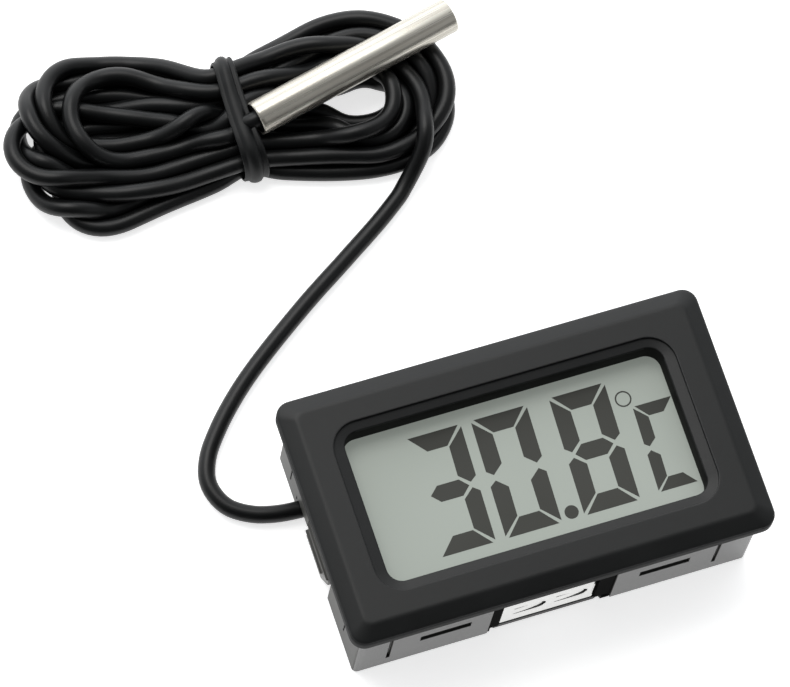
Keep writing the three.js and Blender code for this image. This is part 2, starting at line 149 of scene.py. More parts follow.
def bump(tree, shader, source, strength, distance):
    node = add_node(tree, "ShaderNodeBump", Strength=strength, Distance=distance)
    tree.links.new(source, node.inputs["Height"])
    tree.links.new(node.outputs["Normal"], shader.inputs["Normal"])


def shade(colour, factor):
    return tuple(channel * factor for channel in colour)


def link_roughness(tree, shader, source, low, high):
    tree.links.new(remap(tree, source, low, high), shader.inputs["Roughness"])


def moulded_plastic(name, colour, roughness, grain, gloss=0.5):
    """Black or grey plastic: a faint cloud in its tone and gloss, and the mould's fine grain."""
    material, tree, shader = new_material(name)
    cloud = noise(tree, 160.0, 3.0)
    fine = noise(tree, 9000.0, 3.0)
    tint = ramp(tree, cloud, [(0.3, shade(colour, 0.88)), (0.7, shade(colour, 1.12))])
    tree.links.new(tint, shader.inputs["Base Color"])
    link_roughness(tree, shader, cloud, roughness - 0.05, roughness + 0.05)
    shader.inputs["Specular IOR Level"].default_value = gloss
    bump(tree, shader, fine, grain, GRAIN_DEPTH)
    return material


def metal(name, colour, roughness, stretch=(1, 1, 1)):
    """Plain or plated metal with streaks in its tone and gloss."""
    material, tree, shader = new_material(name)
    shader.inputs["Metallic"].default_value = 1.0
    streak = noise(tree, 900.0, 5.0, 0.6, stretch)
    tint = ramp(tree, streak, [(0.25, shade(colour, 0.93)), (0.75, shade(colour, 1.0))])
    tree.links.new(tint, shader.inputs["Base Color"])
    link_roughness(tree, shader, streak, roughness * 0.7, roughness * 1.3)
    bump(tree, shader, streak, 0.08, SCRATCH_DEPTH)
    return material


# ------------------------------------------------------------------ mesh helpers

def mesh_object(name, vertices, faces, material, smooth_angle=35):
    """A new object from points in millimetres, smooth except at edges sharper than the angle."""
    mesh = bpy.data.meshes.new(name)
    mesh.from_pydata([tuple(c * MM for c in v) for v in vertices], [], faces)
    mesh.validate()
    piece = bpy.data.objects.new(name, mesh)
    bpy.context.collection.objects.link(piece)
    recalculate_normals(mesh)
    mesh.materials.append(material)
    shade_smooth_by_angle(mesh, smooth_angle)
    return piece


def recalculate_normals(mesh):
    work = bmesh.new()
    work.from_mesh(mesh)
    bmesh.ops.recalc_face_normals(work, faces=work.faces)
    work.to_mesh(mesh)
    work.free()


def shade_smooth_by_angle(mesh, degrees):
    for polygon in mesh.polygons:
        polygon.use_smooth = True
    work = bmesh.new()
    work.from_mesh(mesh)
    limit = math.radians(degrees)
    for edge in work.edges:
        edge.smooth = len(edge.link_faces) == 2 and edge.calc_face_angle(0) < limit
    work.to_mesh(mesh)
    work.free()


def apply_modifiers(piece):
    bpy.context.view_layer.update()
    graph = bpy.context.evaluated_depsgraph_get()
    baked = bpy.data.meshes.new_from_object(
        piece.evaluated_get(graph), preserve_all_data_layers=True, depsgraph=graph
    )
    old = piece.data
    piece.modifiers.clear()
    piece.data = baked
    bpy.data.meshes.remove(old)


def rounded_ring(half_x, half_y, radius, z, per_corner=8):
    """A rounded rectangle at one height, anticlockwise from its right-hand bottom corner."""
    points = []
    for corner, (sx, sy) in enumerate([(1, -1), (1, 1), (-1, 1), (-1, -1)]):
        start = math.radians(-90 + 90 * corner)
        for step in range(per_corner + 1):
            angle = start + math.radians(90) * step / per_corner
            x = sx * (half_x - radius) + radius * math.cos(angle)
            y = sy * (half_y - radius) + radius * math.sin(angle)
            points.append((x, y, z))
    return points


def loft(rings, closed=False, cap_start=False, cap_end=False):
    """Joins rings of equal point count with quads."""
    count = len(rings[0])
    vertices = [point for ring in rings for point in ring]
    faces = []
    pairs = [(low, low + 1) for low in range(len(rings) - 1)]
    if closed:
        pairs.append((len(rings) - 1, 0))
    for low, high in pairs:
        for i in range(count):
            j = (i + 1) % count
            faces.append((low * count + i, low * count + j, high * count + j, high * count + i))
    if cap_start:
        faces.append(tuple(reversed(range(count))))
    if cap_end:
        faces.append(tuple(range((len(rings) - 1) * count, len(rings) * count)))
    return vertices, faces


def prism(outline, axis, low, high):
    """A straight prism: the outline lies in the plane across the axis."""
    def place(a, b, c):
        if axis == "x":
            return (c, a, b)
        if axis == "y":
            return (a, c, b)
        return (a, b, c)
    rings = [[place(a, b, level) for a, b in outline] for level in (low, high)]
    return loft(rings, cap_start=True, cap_end=True)


def box_outline(a0, a1, b0, b1):
    return [(a0, b0), (a1, b0), (a1, b1), (a0, b1)]


def cut_and_round(piece, shapes, width):
    """Cuts shapes out of a piece and rounds its sharp edges over a little."""
    tools = [mesh_object("cutting_tool", *shape, None) for shape in shapes]
    for tool in tools:
        modifier = piece.modifiers.new("cut", "BOOLEAN")
        modifier.operation = "DIFFERENCE"
        modifier.solver = "EXACT"
        modifier.object = tool
    apply_modifiers(piece)
    for tool in tools:
        bpy.data.objects.remove(tool)
    round_edges(piece, width)


def round_edges(piece, width, segments=2, angle=40):
    for polygon in piece.data.polygons:
        polygon.use_smooth = True
    for edge in piece.data.edges:
        edge.use_edge_sharp = False
    modifier = piece.modifiers.new("edge", "BEVEL")
    modifier.width = width * MM
    modifier.segments = segments
    modifier.limit_method = "ANGLE"
    modifier.angle_limit = math.radians(angle)
    modifier.use_clamp_overlap = True
    modifier.harden_normals = True
    apply_modifiers(piece)


def wear_only(piece, *materials):
    piece.data.materials.clear()
    for material in materials:
        piece.data.materials.append(material)


def join_meshes(name, shapes, material):
    vertices = []
    faces = []
    for some_vertices, some_faces in shapes:
        base = len(vertices)
        vertices += some_vertices
        faces += [tuple(base + i for i in face) for face in some_faces]
    return mesh_object(name, vertices, faces, material)


def finish_piece(piece, body, slot_name, *nodes):
    """Fixes a piece to its body and hides the CAD nodes that it stands for."""
    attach(piece, body)
    if nodes:
        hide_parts(*nodes)
    return piece


# ------------------------------------------------------------------ camera, light and floor

WORLD_FRONT, WORLD_BACK, WORLD_RISE = 0.06, 2.4, 2.8
FLOOR_GLOW = 0.70
FLOOR_HALF = 1500
FLOOR_LEVEL = -0.02
CAMERA_LENS = 273.4
CAMERA_PLACE = (-128.78, -174.54, 625.89)
CAMERA_RIGHT = (0.94534, -0.31452, 0.08615)
CAMERA_FORWARD = (0.18337, 0.29420, -0.93799)
LIGHT_TARGET = (0, 0.02, 0)


def make_camera():
    camera_data = bpy.data.cameras.new("camera")
    camera_data.sensor_width = 36
    camera_data.lens = CAMERA_LENS
    camera_data.clip_start = 0.05
    camera_data.clip_end = 20
    camera = bpy.data.objects.new("camera", camera_data)
    bpy.context.collection.objects.link(camera)
    right = Vector(CAMERA_RIGHT).normalized()
    forward = Vector(CAMERA_FORWARD).normalized()
    up = right.cross(forward)
    turn = Matrix((right, up, -forward)).transposed().to_4x4()
    camera.matrix_world = Matrix.Translation(Vector(CAMERA_PLACE) * MM) @ turn
    bpy.context.scene.camera = camera


def area_light(name, place, size, power, colour):
    """A rectangular lamp aimed at the middle of the object; places and sizes are in metres."""
    data = bpy.data.lights.new(name, "AREA")
    data.shape = "RECTANGLE"
    data.size, data.size_y = size
    data.energy = power
    data.color = colour
    light = bpy.data.objects.new(name, data)
    bpy.context.collection.objects.link(light)
    light.location = place
    light.rotation_mode = "QUATERNION"
    light.rotation_quaternion = (Vector(LIGHT_TARGET) - Vector(place)).to_track_quat("-Z", "Y")


def make_world():
    """Soft studio surroundings: bright beyond the top of the case, darker in front of it."""
    world = bpy.data.worlds.new("studio")
    world.use_nodes = True
    tree = world.node_tree
    background = tree.nodes["Background"]
    background.inputs["Color"].default_value = (0.96, 0.98, 1.0, 1.0)
    place = add_node(tree, "ShaderNodeTexCoord")
    split = add_node(tree, "ShaderNodeSeparateXYZ")
    tree.links.new(place.outputs["Generated"], split.inputs["Vector"])
    half = add_node(tree, "ShaderNodeMapRange")
    half.inputs["From Min"].default_value = -1.0
    tree.links.new(split.outputs["Y"], half.inputs["Value"])
    rise = add_node(tree, "ShaderNodeMath", operation="POWER")
    rise.inputs[1].default_value = WORLD_RISE
    tree.links.new(half.outputs["Result"], rise.inputs[0])
    level = add_node(tree, "ShaderNodeMapRange")
    level.inputs["To Min"].default_value = WORLD_FRONT
    level.inputs["To Max"].default_value = WORLD_BACK
    tree.links.new(rise.outputs["Value"], level.inputs["Value"])
    tree.links.new(level.outputs["Result"], background.inputs["Strength"])
    bpy.context.scene.world = world
    bpy.context.scene.view_settings.view_transform = "Standard"


def make_floor():
    material, tree, shader = new_material("pale_floor")
    tint = ramp(tree, noise(tree, 40.0), [(0.3, (0.86, 0.86, 0.86)), (0.7, (0.88, 0.88, 0.88))])
    tree.links.new(tint, shader.inputs["Base Color"])
    shader.inputs["Roughness"].default_value = 0.55
    shader.inputs["Emission Color"].default_value = (1.0, 1.0, 1.0, 1.0)
    shader.inputs["Emission Strength"].default_value = FLOOR_GLOW
    square = box_outline(-FLOOR_HALF, FLOOR_HALF, -FLOOR_HALF, FLOOR_HALF)
    corners = [(x, y, FLOOR_LEVEL) for x, y in square]
    floor = mesh_object("floor", corners, [(0, 1, 2, 3)], material)


make_camera()
make_world()
make_floor()
area_light("key", (-0.13, 0.50, 0.95), (0.7, 0.6), 4.5, (1.0, 0.985, 0.96))
area_light("fill", (0.6, -0.5, 0.6), (0.8, 0.5), 0.5, (0.96, 0.98, 1.0))


# ------------------------------------------------------------------ cord: where it goes

# Out of the side wall and across the floor: the same points as the CAD part's cord_run.
FREE_RUN = [
    (-19.7, 6.1, CORD_AXIS_HEIGHT),
    (-22.6, 6.1, CORD_AXIS_HEIGHT),
    (-25.6, 6.4, CORD_AXIS_HEIGHT),
    (-28.2, 7.2, CORD_AXIS_HEIGHT),
    (-30.5, 8.9, CORD_AXIS_HEIGHT),
    (-31.5, 11.8, CORD_AXIS_HEIGHT),
    (-30.7, 14.6, CORD_AXIS_HEIGHT),
    (-28.6, 17.5, CORD_AXIS_HEIGHT),
    (-25.7, 20.5, CORD_AXIS_HEIGHT),
    (-22.4, 23.3, CORD_AXIS_HEIGHT),
    (-14.8, 28.7, CORD_AXIS_HEIGHT),
    (-8.8, 32.5, CORD_AXIS_HEIGHT),
    (-2.8, 36.4, CORD_AXIS_HEIGHT),
    (0.9, 39.3, CORD_AXIS_HEIGHT),
]

# Up over the right-hand lobe and back under the probe to the tie.
OVER_THE_LOBE = [
    (3.3, 42.0, 3.2),
    (4.7, 44.8, 4.6),
    (5.2, 47.5, 5.0),
    (5.1, 50.2, 4.6),
    (4.2, 53.0, 3.8),
    (2.2, 55.3, 3.4),
    (-0.8, 56.6, 3.3),
    (-4.5, 57.2, 3.1),
    (-9.5, 56.8, 3.0),
]

# Each half turn of the hank: how far it reaches, its top and bottom edges, the middle of its bow,
# how far the bow leans, and the height it lies at. Left-hand ones add where they pass the tie, as
# (y, z) on the way in and on the way out.
LEFT_TURNS = {
    "second_from_top": ((-38.6, 62.0, 50.8, -25.2, -1.0, 4.2), (56.4, 3.0), (53.45, 4.15)),
    "lowest": ((-38.4, 54.5, 44.3, -31.0, -1.5, 0.95), (51.7, 0.95), (46.0, 0.95)),
    "under_third": ((-40.4, 60.6, 50.0, -31.5, -2.5, 2.2), (54.2, 2.3), (48.8, 2.55)),
    "low_outer": ((-40.5, 56.5, 45.2, -33.0, -1.0, 1.2), (53.6, 0.95), (47.9, 0.95)),
    "low_inner": ((-39.4, 57.5, 45.9, -31.5, -2.0, 2.0), (52.5, 2.55), (46.9, 2.55)),
    "third": ((-40.0, 61.1, 50.0, -30.5, -2.0, 3.4), (55.6, 1.1), (50.7, 2.55)),
    "outermost": ((-41.6, 58.2, 47.9, -32.0, -3.0, 2.9), (51.6, 4.15), (47.9, 4.15)),
    "top": ((-35.2, 60.3, 49.1, -25.0, -1.5, 5.4), (53.4, 4.3), (49.75, 4.15)),
}
RIGHT_TURNS = {
    "short_inner": (4.2, 55.0, 45.4, 0.0, 1.0, 1.2),
    "low_outer": (8.8, 57.8, 41.5, 1.5, -1.0, 1.2),
    "under_cord": (6.0, 56.0, 44.2, 0.0, 0.0, 1.8),
    "middle": (7.2, 56.8, 44.0, 0.5, 0.0, 2.2),
    "outermost": (9.2, 58.6, 43.2, 2.0, -1.5, 3.0),
    "inner": (5.0, 54.8, 45.2, -1.0, -1.0, 2.6),
    "top": (4.3, 55.2, 46.3, -2.0, -1.0, 3.4),
}
WINDING = [
    ("left", "second_from_top"),
    ("right", "short_inner"),
    ("left", "lowest"),
    ("right", "low_outer"),
    ("left", "under_third"),
    ("right", "under_cord"),
    ("left", "low_outer"),
    ("right", "middle"),
    ("left", "low_inner"),
    ("right", "outermost"),
    ("left", "third"),
    ("right", "inner"),
    ("left", "outermost"),
    ("right", "top"),
    ("left", "top"),
]
# The short inner turn first crosses the open middle of the right-hand loops.
CROSSING = [(-9.0, 50.9, 3.0), (-5.2, 50.0, 1.6), (-3.0, 49.2, 1.2), (-1.4, 47.0, 1.0)]

# The room inside the tie: its two edges along y and its top.
WAIST_LOW, WAIST_HIGH, WAIST_TOP = 45.1, 57.4, 5.35
TIE_HALF_WIDTH = 1.5

POINT_SPACING = 1.1
DRAWN_SPACING = 0.6
TIGHTEST_BEND = 5.0
SETTLING_STEPS = 500
SINK_PER_STEP = 0.05
PASSES_PER_STEP = 4
# Points move so little in this many steps that the list of close pairs lasts as long.
STEPS_PER_LIST = 8
# The stretch from the case to the hank keeps its route.
FREE_RUN_LENGTH = 58
# How many of the last points the probe's mouth holds, and how many may touch the probe.
HELD_POINTS, TOUCHING_POINTS = 4, 8


def bow(turn, side):
    """The points of one half turn, from its top edge to its bottom edge or the other way."""
    end, top, bottom, centre, lean, level = turn
    middle = (top + bottom) / 2
    half = (top - bottom) / 2
    first = 90 if side == "left" else 270
    points = []
    for step in (0, 28, 55, 80, 105, 132, 158, 180):
        angle = math.radians(first + step)
        x = centre + abs(end - centre) * math.cos(angle) + lean * math.sin(angle)
        points.append((x, middle + half * math.sin(angle), level))
    return points


def drawn_route():
    """The cord from the case to the probe, turn after turn, before it settles."""
    points = FREE_RUN + OVER_THE_LOBE
    for side, name in WINDING:
        if side == "right":
            turn = bow(RIGHT_TURNS[name], side)
            points = points + (CROSSING + turn[1:] if name == "short_inner" else turn)
            continue
        turn, way_in, way_out = LEFT_TURNS[name]
        points = points + [(TIE_X + 1.2, *way_in), (TIE_X - 1.2, *way_in)]
        points = points + bow(turn, side)
        points = points + [(TIE_X - 1.2, *way_out), (TIE_X + 1.2, *way_out)]
    entry = [tuple(PROBE_MOUTH + PROBE_DIRECTION * reach) for reach in (-0.3, 1.6)]
    return np.array(points[:-1] + entry)


def even_curve(points, spacing):
    """A smooth curve through the points, as evenly spaced points on it."""
    padded = np.vstack([2 * points[0] - points[1], points, 2 * points[-1] - points[-2]])
    stretches = []
    for i in range(1, len(padded) - 2):
        p0, p1, p2, p3 = padded[i - 1:i + 3]
        k1 = np.linalg.norm(p1 - p0) ** 0.5
        k2 = k1 + np.linalg.norm(p2 - p1) ** 0.5
        k3 = k2 + np.linalg.norm(p3 - p2) ** 0.5
        k = np.linspace(k1, k2, 24, endpoint=False)[:, None]
        a1 = (k1 - k) / k1 * p0 + k / k1 * p1
        a2 = (k2 - k) / (k2 - k1) * p1 + (k - k1) / (k2 - k1) * p2
        a3 = (k3 - k) / (k3 - k2) * p2 + (k - k2) / (k3 - k2) * p3
        b1 = (k2 - k) / k2 * a1 + k / k2 * a2
        b2 = (k3 - k) / (k3 - k1) * a2 + (k - k1) / (k3 - k1) * a3
        stretches.append((k2 - k) / (k2 - k1) * b1 + (k - k1) / (k2 - k1) * b2)
    curve = np.vstack(stretches + [padded[-2][None]])
    reach = np.concatenate([[0], np.cumsum(np.linalg.norm(np.diff(curve, axis=0), axis=1))])
    wanted = np.linspace(0, reach[-1], int(round(reach[-1] / spacing)) + 1)
    return np.stack([np.interp(wanted, reach, curve[:, axis]) for axis in range(3)], 1)


# ------------------------------------------------------------------ cord: how it settles

def soften_bends(points):
    """Evens the curve out, and opens any bend tighter than the cord takes."""
    for _ in range(3):
        middle = (points[:-2] + points[2:]) / 2
        points[1:-1] += (middle - points[1:-1]) * 0.3
    for span in (5, 9):
        turn = min(span * POINT_SPACING / (2 * TIGHTEST_BEND), 1.5)
        chord = 2 * TIGHTEST_BEND * math.sin(turn)
        across = points[span:] - points[:-span]
        length = np.linalg.norm(across, axis=1) + 1e-9
        spread = across * (np.maximum(0, chord - length) / length * 0.15)[:, None]
        points[span:] += spread
        points[:-span] -= spread


def keep_length(points, rest):
    """Brings each step along the cord back to its own length."""
    for _ in range(3):
        for first in (0, 1):
            a = np.arange(first, len(points) - 1, 2)
            step = points[a + 1] - points[a]
            length = np.linalg.norm(step, axis=1)
            fix = step * ((length - rest[a]) / length * 0.5)[:, None]
            points[a] += fix
            points[a + 1] -= fix


def close_pairs(points, reach):
    """Pairs of points that are near each other but not neighbours along the cord."""
    skip = int(math.ceil(CORD_DIAMETER * 1.6 / POINT_SPACING)) + 1
    gaps = points[:, None, :] - points[None, :, :]
    distance = np.sqrt((gaps * gaps).sum(-1))
    return np.where(np.triu(distance < reach, skip))


def share_along(move):
    """A push on one point carries its neighbours along with it, so that nothing kinks."""
    for _ in range(2):
        move[1:-1] = move[1:-1] * 0.5 + (move[:-2] + move[2:]) * 0.25
    # The point itself gets back most of what the spreading took from it.
    return move * 1.7


def push_apart(points, pairs):
    first, second = pairs
    gap = points[first] - points[second]
    distance = np.linalg.norm(gap, axis=1) + 1e-9
    near = distance < CORD_DIAMETER
    # Each point gives way by about a third of the overlap, so that nothing jumps.
    push = gap[near] * ((CORD_DIAMETER - distance[near]) / distance[near] * 0.35)[:, None]
    move = np.zeros_like(points)
    count = np.zeros(len(points))
    np.add.at(move, first[near], push)
    np.add.at(move, second[near], -push)
    np.add.at(count, first[near], 1)
    np.add.at(count, second[near], 1)
    points += share_along(move / np.sqrt(np.maximum(1, count))[:, None])


def hold_in_tie(points):
    """The tie holds its own width tightly, and the cord fans out freely on both sides of it."""
    room = np.maximum(0, np.abs(points[:, 0] - TIE_X) - TIE_HALF_WIDTH)
    low = WAIST_LOW + CORD_RADIUS - room
    high = WAIST_HIGH - CORD_RADIUS + room
    held = points.copy()
    held[:, 1] = np.clip(points[:, 1], low, high)
    held[:, 2] = np.minimum(points[:, 2], WAIST_TOP - CORD_RADIUS + room * 0.6)
    # The free run passes the tie nearer the case, and isn't held.
    near = room[:, None] < 5
    near &= points[:, 1:2] > 40
    points += share_along(np.where(near, held - points, 0)) * 0.6


def keep_off_probe(points, free):
    along = np.clip((points - PROBE_MOUTH) @ PROBE_DIRECTION, 0, PROBE_LENGTH)
    nearest = PROBE_MOUTH + along[:, None] * PROBE_DIRECTION
    gap = points - nearest
    distance = np.linalg.norm(gap, axis=1) + 1e-9
    room = PROBE_RADIUS + CORD_RADIUS
    hit = free & (distance < room)
    points[hit] = nearest[hit] + gap[hit] / distance[hit][:, None] * room


def settle(points):
    """Lets the drawn cord bend, touch itself, sink to the floor and fill the tie."""
    points[:, 2] = np.maximum(points[:, 2], CORD_AXIS_HEIGHT)
    drawn = points.copy()
    rest = np.linalg.norm(np.diff(points, axis=0), axis=1)
    count = len(points)
    fixed = np.zeros(count, bool)
    fixed[:int(FREE_RUN_LENGTH / POINT_SPACING)] = True
    fixed[-HELD_POINTS:] = True
    free = ~fixed & (np.arange(count) < count - TOUCHING_POINTS)
    for step in range(SETTLING_STEPS):
        points[:, 2] -= SINK_PER_STEP
        pull = 0.06 * (1 - step / SETTLING_STEPS) + 0.02
        points[:, :2] += (drawn[:, :2] - points[:, :2]) * pull
        soften_bends(points)
        keep_length(points, rest)
        if step % STEPS_PER_LIST == 0:
            pairs = close_pairs(points, CORD_DIAMETER * 1.9)
        for _ in range(PASSES_PER_STEP):
            push_apart(points, pairs)
            hold_in_tie(points)
            keep_off_probe(points, free)
            points[:, 2] = np.maximum(points[:, 2], CORD_RADIUS)
        points = np.where(fixed[:, None], drawn, points)
    return points


# ------------------------------------------------------------------ cord, tie and probe

def rubber(name, colour, roughness):
    """Soft plastic or rubber: cloudy in tone and gloss, with a very fine grain."""
    material, tree, shader = new_material(name)
    cloud = noise(tree, 220.0, 4.0)
    tint = ramp(tree, cloud, [(0.3, shade(colour, 0.8)), (0.7, shade(colour, 1.25))])
    tree.links.new(tint, shader.inputs["Base Color"])
    link_roughness(tree, shader, cloud, roughness - 0.06, roughness + 0.08)
    shader.inputs["Specular IOR Level"].default_value = 0.32
    bump(tree, shader, noise(tree, 5000.0, 3.0), 0.12, GRAIN_DEPTH)
    return material


CORD_BLACK = rubber("cord_black", (0.0035, 0.0038, 0.004), 0.36)
TIE_BLACK = rubber("tie_black", (0.0036, 0.0042, 0.0044), 0.46)


def drawn_steel():
    """Warm polished tube with faint drawing lines along its length."""
    material, tree, shader = new_material("drawn_steel")
    shader.inputs["Metallic"].default_value = 0.72
    place = add_node(tree, "ShaderNodeTexCoord")
    turned = add_node(tree, "ShaderNodeMapping")
    turned.vector_type = "TEXTURE"
    turned.inputs["Rotation"].default_value = (0.0, 0.0, PROBE_TURN)
    turned.inputs["Scale"].default_value = (60.0, 1.0, 1.0)
    lines = add_node(tree, "ShaderNodeTexNoise", Scale=1500.0, Detail=4.0, Roughness=0.6)
    tree.links.new(place.outputs["Object"], turned.inputs["Vector"])
    tree.links.new(turned.outputs["Vector"], lines.inputs["Vector"])
    line = lines.outputs["Fac"]
    tint = ramp(tree, line, [(0.32, (0.44, 0.41, 0.355)), (0.6, (0.62, 0.60, 0.535))])
    tree.links.new(tint, shader.inputs["Base Color"])
    link_roughness(tree, shader, line, 0.20, 0.34)
    bump(tree, shader, line, 0.12, SCRATCH_DEPTH)
    return material


STEEL = drawn_steel()


def make_cord():
    points = even_curve(settle(even_curve(drawn_route(), POINT_SPACING)), DRAWN_SPACING)
    curve = bpy.data.curves.new("cord", "CURVE")
    curve.dimensions = "3D"
    curve.bevel_depth = CORD_RADIUS * MM
    curve.bevel_resolution = 8
    curve.use_fill_caps = True
    spline = curve.splines.new("POLY")
    spline.points.add(len(points) - 1)
    for place, (x, y, z) in zip(spline.points, points):
        place.co = (x * MM, y * MM, z * MM, 1.0)
    spline.use_smooth = True
    curve.materials.append(CORD_BLACK)
    cord = bpy.data.objects.new("cord", curve)
    bpy.context.collection.objects.link(cord)
    length = np.linalg.norm(np.diff(points, axis=0), axis=1).sum()
    finish_piece(cord, "case", "cord_jacket", "cord_run", "cord_hank", "cord_tail")
    return cord, length


def tie_loop():
    """A rounded loop drawn tightly round the bundle, a little slack at its top edge."""
    points = [
        (46.6, 0.12), (50.0, 0.10), (54.0, 0.10), (56.4, 0.14), (57.5, 0.8), (57.95, 2.1),
        (57.9, 3.5), (57.5, 4.7), (56.6, 5.45), (55.2, 5.6), (53.0, 5.55), (50.2, 5.5),
        (47.8, 5.4), (46.1, 4.9), (45.1, 3.9), (44.6, 2.6), (44.7, 1.3), (45.4, 0.45),
    ]
    closed = np.array([(0.0, y, z) for y, z in points[-2:] + points + points[:3]])
    curve = even_curve(closed, 0.3)
    first = np.argmin(np.linalg.norm(curve[:40] - closed[2], axis=1))
    last = len(curve) - 60 + np.argmin(np.linalg.norm(curve[-60:] - closed[-3], axis=1))
    return curve[first:last, 1:]


# The tie bows to the right away from the middle of the bundle, and widens towards its lower end.
TIE_MIDDLE = (-15.62, 51.6)
TIE_BOW = 0.007


def make_tie():
    """A plastic-covered wire tie: a flat band with a round core and two thin wings."""
    profile = [
        (-1.42, 0.02), (-1.45, 0.16), (-1.36, 0.25), (-1.0, 0.27), (-0.86, 0.34), (-0.7, 0.52),
        (-0.4, 0.64), (-0.05, 0.67), (0.3, 0.6), (0.52, 0.42), (0.62, 0.30), (0.8, 0.33),
        (1.0, 0.42), (1.16, 0.40), (1.27, 0.28), (1.3, 0.12), (1.26, 0.02), (0.0, 0.0),
    ]
    path = tie_loop()
    count = len(path)
    rings = []
    for i in range(count):
        y, z = path[i]
        ahead = path[(i + 2) % count] - path[(i - 2) % count]
        ahead /= np.linalg.norm(ahead)
        outward = (ahead[1], -ahead[0])
        centre = TIE_MIDDLE[0] + TIE_BOW * (y - TIE_MIDDLE[1]) ** 2
        widening = 0.84 + 0.2 * (WAIST_HIGH - y) / 12
        swell = 1 + 0.12 * math.cos(2 * math.pi * (y - 44) / 14)
        ring = []
        for across, out in profile:
            reach = out * swell
            height = max(z + outward[1] * reach, 0.02)
            ring.append((centre + across * widening, y + outward[0] * reach, height))
        rings.append(ring)
    vertices, faces = loft(rings, closed=True)
    tie = mesh_object("wire_tie", vertices, faces, TIE_BLACK, 60)
    return finish_piece(tie, "case", "tie_plastic", "twist_tie")


def lathe(profile, centre, axis, segments=72):
    """Turns (distance along, radius) pairs about a level axis."""
    side = np.cross(axis, (0.0, 0.0, 1.0))
    side /= np.linalg.norm(side)
    up = np.cross(axis, side)
    rings = []
    for along, radius in profile:
        ring = []
        for step in range(segments):
            angle = 2 * math.pi * step / segments
            spread = side * math.cos(angle) + up * math.sin(angle)
            ring.append(tuple(centre + axis * along + spread * radius))
        rings.append(ring)
    return loft(rings, cap_start=True, cap_end=True)


def make_probe():
    """Drawn steel tube: a rolled-in mouth where the cord goes in and a rounded closed end."""
    profile = [
        (1.2, 1.0),
        (0.9, 1.5),
        (0.25, 1.72),
        (0.04, 1.78),
        (0.0, 1.86),
        (0.05, 1.94),
        (0.2, 1.99),
        (0.5, PROBE_RADIUS),
        (9.0, PROBE_RADIUS),
        (17.0, PROBE_RADIUS),
        (PROBE_LENGTH - 0.25, PROBE_RADIUS),
        (PROBE_LENGTH - 0.1, 1.97),
        (PROBE_LENGTH - 0.02, 1.9),
        (PROBE_LENGTH, 1.8),
        (PROBE_LENGTH, 1.2),
        (PROBE_LENGTH, 0.5),
    ]
    vertices, faces = lathe(profile, PROBE_MOUTH, PROBE_DIRECTION)
    probe = mesh_object("steel_probe", vertices, faces, STEEL, 40)
    return finish_piece(probe, "case", "steel", "probe_tube")


cord, cord_length = make_cord()
tie = make_tie()
probe = make_probe()


# ------------------------------------------------------------------ case

CASE_BLACK = moulded_plastic("case_black", (0.0076, 0.0082, 0.0082), 0.42, 0.25, 0.32)
EDGE_BLACK = moulded_plastic("edge_black", (0.010, 0.0105, 0.0105), 0.6, 0.25, 0.06)
# Painted shade: the window's deep wall wears a darker, duller copy of the case black.
WINDOW_PAINTED_SHADE = moulded_plastic("window_painted_shade", (0.004, 0.004, 0.004), 0.7, 0.1, 0.15)
# Painted shade: a near-black, dull copy of the case black for the moulding deep in the bay's mouth.
RECESS_PAINTED_SHADE = moulded_plastic("recess_painted_shade", (0.0012, 0.0012, 0.0012), 0.8, 0.1, 0.03)
# Painted light: the walls wear a lighter copy of the case black for the light the floor throws on
# them, and the end walls a lighter one still for the lamp.
WALL_PAINTED_LIGHT = moulded_plastic("wall_painted_light", (0.050, 0.050, 0.047), 0.24, 0.10, 0.5)
SIDE_WALL_PAINTED_LIGHT = moulded_plastic("side_wall_painted_light", (0.060, 0.060, 0.056), 0.42, 0.10, 0.16)
COVER_BLACK = moulded_plastic("cover_black", (0.009, 0.0092, 0.0092), 0.45, 0.25, 0.35)
CLIP_GREY = moulded_plastic("clip_grey", (0.045, 0.043, 0.038), 0.33, 0.15)
NICKEL = metal("nickel", (0.95, 0.95, 0.93), 0.14, (1, 1, 6))


